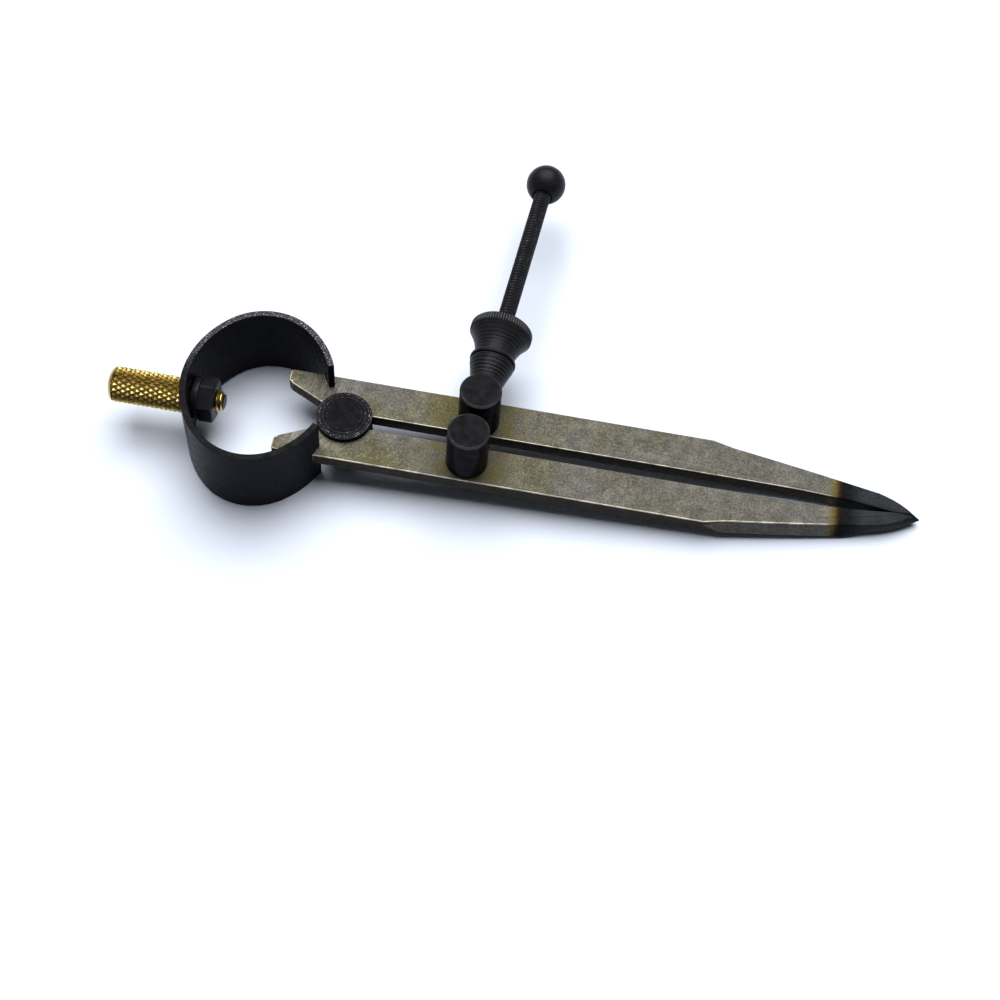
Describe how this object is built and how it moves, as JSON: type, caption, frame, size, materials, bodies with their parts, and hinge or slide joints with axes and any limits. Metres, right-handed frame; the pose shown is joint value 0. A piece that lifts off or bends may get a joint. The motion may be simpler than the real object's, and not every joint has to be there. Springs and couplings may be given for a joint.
{
  "type": "compass divider",
  "caption": "Bow-spring compass divider: flat pointed steel legs on a fulcrum roller, set by a knurled nut on a cross screw, with a knurled brass handle.",
  "frame": {"origin": "middle of the bounding box in X and Y, at the lower edge of the bow spring", "axes": "+X along the closed legs towards their points, +Y along the cross screw towards its ball, +Z square to the legs, on the side where the posts stand"},
  "size_m": [0.1136, 0.0588, 0.0158],
  "materials": {
    "ground_steel": "ground flat, mottled, with heat-blackened points",
    "spring_steel": "black oxide, semi-gloss, worn at the rims",
    "black_steel": "black oxide, turned",
    "brass": "diamond knurled"
  },
  "bodies": {
    "head": {"bow_spring": "spring_steel", "handle": "brass", "handle_nut": "black_steel", "lock_washer": "black_steel"},
    "fulcrum": {"fulcrum_roller": "black_steel"},
    "near_leg_body": {"near_leg": "ground_steel"},
    "far_leg_body": {"far_leg": "ground_steel"},
    "screw_post": {"near_post": "black_steel", "adjusting_screw": "black_steel", "screw_ball": "black_steel"},
    "guide_post": {"far_post": "black_steel"},
    "seat": {"seat_washer": "black_steel"},
    "nut": {"adjusting_nut": "black_steel"}
  },
  "joints": [
    {"name": "nut_spin", "type": "hinge", "parent": "guide_post", "child": "nut", "pos_m": [-0.00521, -0.01375, 0.01135], "axis": [0.074, 0.9973, 0], "range_deg": [0, 10500]},
    {"name": "far_leg_swing", "type": "hinge", "parent": "head", "child": "far_leg_body", "pos_m": [-0.02352, -0.01712, 0.0062], "axis": [0, 0, 1], "range_deg": [0, 25], "deforming": ["bow_spring"]},
    {"name": "near_leg_swing", "type": "hinge", "parent": "head", "child": "near_leg_body", "pos_m": [-0.02352, -0.01712, 0.0062], "axis": [0, 0, 1], "range_deg": [-25, 0], "deforming": ["bow_spring"]},
    {"name": "guide_post_swivel", "type": "hinge", "parent": "far_leg_body", "child": "guide_post", "pos_m": [-0.00521, -0.01375, 0.0062], "axis": [0, 0, 1], "range_deg": [-21.6, 0]},
    {"name": "screw_post_swivel", "type": "hinge", "parent": "near_leg_body", "child": "screw_post", "pos_m": [-0.00571, -0.02049, 0.0062], "axis": [0, 0, 1], "range_deg": [0, 28.5]},
    {"name": "fulcrum_turn", "type": "hinge", "parent": "head", "child": "fulcrum", "pos_m": [-0.02352, -0.01712, 0.0062], "axis": [0, 0, 1], "continuous": true},
    {"name": "seat_spin", "type": "hinge", "parent": "guide_post", "child": "seat", "pos_m": [-0.00521, -0.01375, 0.01135], "axis": [0.074, 0.9973, 0], "continuous": true}
  ],
  "couplings": [
    {"joint": "far_leg_swing", "follows": "nut_spin", "ratio": 0.0023751},
    {"joint": "near_leg_swing", "follows": "nut_spin", "ratio": -0.0023751},
    {"joint": "guide_post_swivel", "follows": "nut_spin", "ratio": -0.0020497},
    {"joint": "screw_post_swivel", "follows": "nut_spin", "ratio": 0.0027005}
  ]
}
